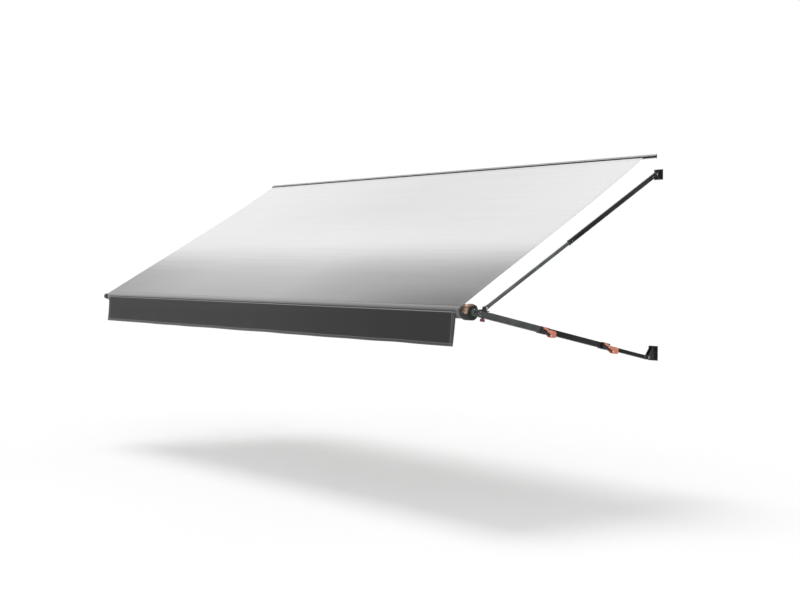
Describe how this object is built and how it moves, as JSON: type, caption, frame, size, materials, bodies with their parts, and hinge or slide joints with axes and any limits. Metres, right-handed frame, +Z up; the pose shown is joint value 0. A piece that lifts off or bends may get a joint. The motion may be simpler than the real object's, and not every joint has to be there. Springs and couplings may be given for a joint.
{
  "type": "roll out awning",
  "caption": "Wall-mounted roll out awning: canopy from a wall rail to a sprung roller with a valance, telescopic main arms and rafters, clamp levers and a ratchet roller lock.",
  "frame": {"origin": "on the wall, on the back face of the rail, in the middle of the canopy's width", "axes": "+X along the wall, to the right when facing it; +Y into the wall; +Z up"},
  "size_m": [5.64, 2.1237, 1.689],
  "materials": {
    "canopy_cloth": "woven acrylic-coated cloth, pale grey",
    "valance_cloth": "woven acrylic-coated cloth, dark grey",
    "bead": "extruded cord",
    "rail_metal": "extruded, dark painted",
    "roller_metal": "extruded, mill finish",
    "arm_metal": "extruded, grey powder coat",
    "leg_metal": "black powder coat",
    "inner_metal": "extruded, satin anodised",
    "casting": "die cast, dark coated",
    "bracket_metal": "black powder coat",
    "black_plastic": "moulded, fine texture",
    "orange_plastic": "moulded, orange",
    "red_plastic": "moulded, dark red",
    "steel": "zinc plated",
    "bush_brass": "sintered"
  },
  "bodies": {
    "wall": {"wall_rail": "rail_metal", "canopy_wall_bead": "bead", "canopy": "canopy_cloth", "rafter_hinge_pins": "steel", "leg_hinge_pins": "steel", "upper_bracket_right": "bracket_metal", "upper_bracket_left": "bracket_metal", "lower_bracket_right": "bracket_metal", "lower_bracket_left": "bracket_metal"},
    "leg_right": {"leg_tube_right": "leg_metal", "leg_foot_right": "casting"},
    "mid_right": {"mid_arm_right": "arm_metal", "leg_clamp_right": "black_plastic"},
    "upper_right": {"upper_arm_right": "arm_metal", "arm_clamp_right": "black_plastic", "arm_head_right": "casting", "head_cover_right": "black_plastic", "spring_arbor_right": "steel", "torsion_spring_right": "steel", "lock_housing": "black_plastic"},
    "arm_lever_right": {"arm_clamp_lever_right": "orange_plastic"},
    "leg_lever_right": {"leg_clamp_lever_right": "orange_plastic"},
    "knob_right": {"lock_knob_right": "red_plastic"},
    "slider_right": {"rafter_slider_right": "casting"},
    "rafter_right": {"rafter_eye_right": "casting", "rafter_outer_right": "arm_metal", "rafter_collar_right": "black_plastic"},
    "rafter_inner_right": {"rafter_inner_right": "inner_metal", "rafter_tip_right": "casting", "rafter_tip_bolt_right": "steel"},
    "leg_left": {"leg_tube_left": "leg_metal", "leg_foot_left": "casting"},
    "mid_left": {"mid_arm_left": "arm_metal", "leg_clamp_left": "black_plastic"},
    "upper_left": {"upper_arm_left": "arm_metal", "arm_clamp_left": "black_plastic", "arm_head_left": "casting", "head_cover_left": "black_plastic", "spring_arbor_left": "steel", "torsion_spring_left": "steel"},
    "arm_lever_left": {"arm_clamp_lever_left": "orange_plastic"},
    "leg_lever_left": {"leg_clamp_lever_left": "orange_plastic"},
    "knob_left": {"lock_knob_left": "red_plastic"},
    "slider_left": {"rafter_slider_left": "casting"},
    "rafter_left": {"rafter_eye_left": "casting", "rafter_outer_left": "arm_metal", "rafter_collar_left": "black_plastic"},
    "rafter_inner_left": {"rafter_inner_left": "inner_metal", "rafter_tip_left": "casting", "rafter_tip_bolt_left": "steel"},
    "lock_lever": {"ratchet_lever": "orange_plastic"},
    "roller": {"roller_tube": "roller_metal", "rolled_fabric": "canopy_cloth", "canopy_roller_bead": "bead", "valance": "valance_cloth", "valance_piping": "bead", "roller_bushes": "bush_brass", "ratchet_wheel": "steel", "roller_end_cap_right": "black_plastic", "roller_end_cap_left": "black_plastic"}
  },
  "joints": [
    {"name": "fold", "type": "hinge", "parent": "wall", "child": "leg_right", "pos_m": [2.735, -0.085, -1.64], "axis": [-1, 0, 0], "range_deg": [0, 78], "deforming": ["canopy", "valance"]},
    {"name": "leg_slide_right", "type": "slide", "parent": "leg_right", "child": "mid_right", "axis": [0, -0.9781, 0.2079], "range_m": [-0.45001, 0]},
    {"name": "arm_slide_right", "type": "slide", "parent": "mid_right", "child": "upper_right", "axis": [0, -0.9781, 0.2079], "range_m": [-0.02001, 0]},
    {"name": "slider_slide_right", "type": "slide", "parent": "mid_right", "child": "slider_right", "axis": [0, -0.9781, 0.2079], "range_m": [-1.28961, 0]},
    {"name": "rafter_swing_right", "type": "hinge", "parent": "wall", "child": "rafter_right", "pos_m": [2.778, -0.041, -0.15], "axis": [1, 0, 0], "range_deg": [0, 62.01]},
    {"name": "rafter_slide_right", "type": "slide", "parent": "rafter_right", "child": "rafter_inner_right", "axis": [0, -0.883, -0.4693], "range_m": [-0.94653, 0]},
    {"name": "arm_lever_turn_right", "type": "hinge", "parent": "upper_right", "child": "arm_lever_right", "pos_m": [2.735, -1.31551, -1.37845], "axis": [-1, 0, 0], "range_deg": [0, 70]},
    {"name": "leg_lever_turn_right", "type": "hinge", "parent": "mid_right", "child": "leg_lever_right", "pos_m": [2.735, -0.60244, -1.53001], "axis": [-1, 0, 0], "range_deg": [0, 70]},
    {"name": "knob_turn_right", "type": "hinge", "parent": "upper_right", "child": "knob_right", "pos_m": [2.735, -1.97869, -1.23748], "axis": [0, 0.2079, 0.9781], "range_deg": [0, 360]},
    {"name": "leg_swing_left", "type": "hinge", "parent": "wall", "child": "leg_left", "pos_m": [-2.735, -0.085, -1.64], "axis": [-1, 0, 0], "range_deg": [0, 78]},
    {"name": "leg_slide_left", "type": "slide", "parent": "leg_left", "child": "mid_left", "axis": [0, -0.9781, 0.2079], "range_m": [-0.45001, 0]},
    {"name": "arm_slide_left", "type": "slide", "parent": "mid_left", "child": "upper_left", "axis": [0, -0.9781, 0.2079], "range_m": [-0.02001, 0]},
    {"name": "slider_slide_left", "type": "slide", "parent": "mid_left", "child": "slider_left", "axis": [0, -0.9781, 0.2079], "range_m": [-1.28961, 0]},
    {"name": "rafter_swing_left", "type": "hinge", "parent": "wall", "child": "rafter_left", "pos_m": [-2.778, -0.041, -0.15], "axis": [1, 0, 0], "range_deg": [0, 62.01]},
    {"name": "rafter_slide_left", "type": "slide", "parent": "rafter_left", "child": "rafter_inner_left", "axis": [0, -0.883, -0.4693], "range_m": [-0.94653, 0]},
    {"name": "arm_lever_turn_left", "type": "hinge", "parent": "upper_left", "child": "arm_lever_left", "pos_m": [-2.735, -1.31551, -1.37845], "axis": [-1, 0, 0], "range_deg": [0, 70]},
    {"name": "leg_lever_turn_left", "type": "hinge", "parent": "mid_left", "child": "leg_lever_left", "pos_m": [-2.735, -0.60244, -1.53001], "axis": [-1, 0, 0], "range_deg": [0, 70]},
    {"name": "knob_turn_left", "type": "hinge", "parent": "upper_left", "child": "knob_left", "pos_m": [-2.735, -1.97869, -1.23748], "axis": [0, 0.2079, 0.9781], "range_deg": [0, 360]},
    {"name": "roller_spin", "type": "hinge", "parent": "upper_right", "child": "roller", "pos_m": [0, -2.06575, -1.21898], "axis": [1, 0, 0], "range_deg": [0, 3320.01]},
    {"name": "lock_lever_turn", "type": "hinge", "parent": "upper_right", "child": "lock_lever", "pos_m": [2.735, -2.04466, -1.17746], "axis": [1, 0, 0], "range_deg": [0, 12]}
  ],
  "couplings": [
    {"joint": "leg_slide_right", "follows": "fold", "m_per_rad": -0.33055},
    {"joint": "arm_slide_right", "follows": "fold", "m_per_rad": -0.014691},
    {"joint": "slider_slide_right", "follows": "fold", "m_per_rad": -0.94729},
    {"joint": "rafter_swing_right", "follows": "fold", "ratio": 0.79497},
    {"joint": "rafter_slide_right", "follows": "fold", "m_per_rad": -0.69528},
    {"joint": "leg_swing_left", "follows": "fold", "ratio": 1},
    {"joint": "leg_slide_left", "follows": "fold", "m_per_rad": -0.33055},
    {"joint": "arm_slide_left", "follows": "fold", "m_per_rad": -0.014691},
    {"joint": "slider_slide_left", "follows": "fold", "m_per_rad": -0.94729},
    {"joint": "rafter_swing_left", "follows": "fold", "ratio": 0.79497},
    {"joint": "rafter_slide_left", "follows": "fold", "m_per_rad": -0.69528},
    {"joint": "roller_spin", "follows": "fold", "ratio": 42.564}
  ]
}
